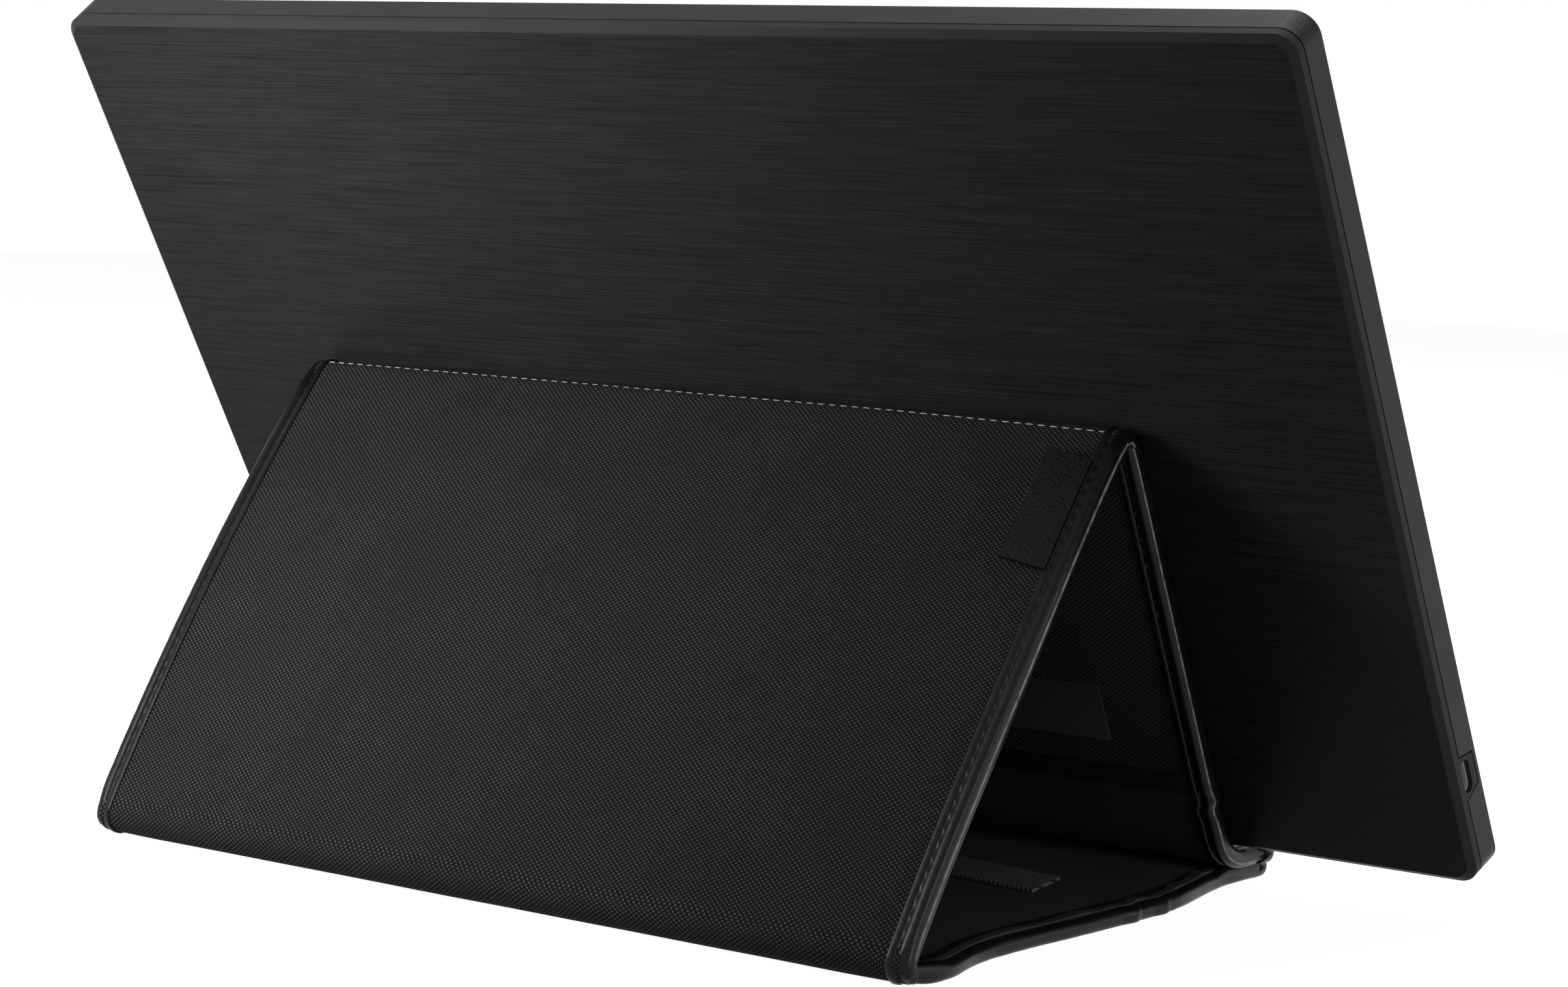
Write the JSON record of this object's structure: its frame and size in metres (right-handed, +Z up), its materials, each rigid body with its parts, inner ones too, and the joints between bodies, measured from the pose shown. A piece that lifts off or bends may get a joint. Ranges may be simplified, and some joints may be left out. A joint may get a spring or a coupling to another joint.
{
  "type": "portable monitor",
  "caption": "Slim portable monitor leaning on its folded sleeve: two padded fabric panels with leather edging rise from a base panel to a ridge behind the screen.",
  "frame": {"origin": "centre of the bounding box at floor level", "axes": "+X along the screen, towards the right of someone who looks at the screen; the screen faces -Y and up; +Z up"},
  "size_m": [0.382, 0.1742, 0.2199],
  "materials": {
    "weave": "coarse woven nylon",
    "lining": "smooth knitted lining",
    "stiffener": "pressed fibre sheet",
    "leather": "smooth, softly shining",
    "webbing": "ribbed webbing",
    "hook_and_loop": "fuzzy",
    "back_shell": "fine brushed lines, satin",
    "bezel": "fine satin",
    "key": "smooth",
    "screen": "anti-glare",
    "gasket": "soft",
    "acrylic": "clear",
    "led_strip": "white",
    "sheet_metal": "rolled",
    "steel": "bright",
    "circuit_board": "solder mask",
    "chip": "moulded",
    "cable": "flexible film",
    "tongue": "moulded"
  },
  "bodies": {
    "base": {"base_outer": "weave", "base_board": "stiffener", "base_lining": "lining", "base_edging": "leather", "foot_crease": "weave", "foot_crease_edging": "leather", "lip_panel": "weave", "lip_edging": "leather", "hook_strip": "hook_and_loop", "lip_loop_strip": "hook_and_loop", "pull_tab": "webbing"},
    "rear": {"rear_outer": "weave", "rear_board": "stiffener", "rear_lining": "lining", "rear_edging": "leather", "ridge_crease": "weave", "ridge_crease_edging": "leather", "label_tab": "leather"},
    "front": {"front_outer": "weave", "front_board": "stiffener", "front_lining": "lining", "front_edging": "leather", "loop_patch": "hook_and_loop", "seam_strip": "lining"},
    "monitor": {"rear_cover": "back_shell", "front_bezel": "bezel", "lcd_cell": "screen", "cell_gasket": "gasket", "light_guide": "acrylic", "backlight_tray": "sheet_metal", "led_bar": "led_strip", "support_plate": "sheet_metal", "plate_screws": "steel", "main_board": "circuit_board", "board_chips": "chip", "board_screws": "steel", "shield_can": "steel", "port_shell": "steel", "port_tongue": "tongue", "panel_cable": "cable", "key_board": "circuit_board", "key_switches": "chip", "key_cable": "cable", "light_pipe": "acrylic"},
    "power": {"power_key": "key"},
    "menu": {"menu_key": "key"},
    "up": {"up_key": "key"},
    "down": {"down_key": "key"}
  },
  "joints": [
    {"name": "rear_fold", "type": "hinge", "parent": "base", "child": "rear", "pos_m": [0.007, 0.08168, 0.0054], "axis": [-1, 0, 0], "range_deg": [0, 120], "deforming": ["foot_crease", "foot_crease_edging"]},
    {"name": "front_fold", "type": "hinge", "parent": "rear", "child": "front", "pos_m": [0.007, -0.00244, 0.11668], "axis": [1, 0, 0], "range_deg": [0, 58], "deforming": ["ridge_crease", "ridge_crease_edging"]},
    {"name": "monitor_lift", "type": "slide", "parent": "base", "child": "monitor", "axis": [0, 0.5, 0.866], "range_m": [0, 0.26]},
    {"name": "power_press", "type": "slide", "parent": "monitor", "child": "power", "axis": [0, 0.866, -0.5], "range_m": [0, 0.0006], "stiffness_N_per_m": 2000, "springref_m": -0.0003},
    {"name": "menu_press", "type": "slide", "parent": "monitor", "child": "menu", "axis": [0, 0.866, -0.5], "range_m": [0, 0.0006], "stiffness_N_per_m": 2000, "springref_m": -0.0003},
    {"name": "up_press", "type": "slide", "parent": "monitor", "child": "up", "axis": [0, 0.866, -0.5], "range_m": [0, 0.0006], "stiffness_N_per_m": 2000, "springref_m": -0.0003},
    {"name": "down_press", "type": "slide", "parent": "monitor", "child": "down", "axis": [0, 0.866, -0.5], "range_m": [0, 0.0006], "stiffness_N_per_m": 2000, "springref_m": -0.0003}
  ],
  "couplings": [
    {"joint": "front_fold", "follows": "rear_fold", "ratio": 0.48333}
  ]
}
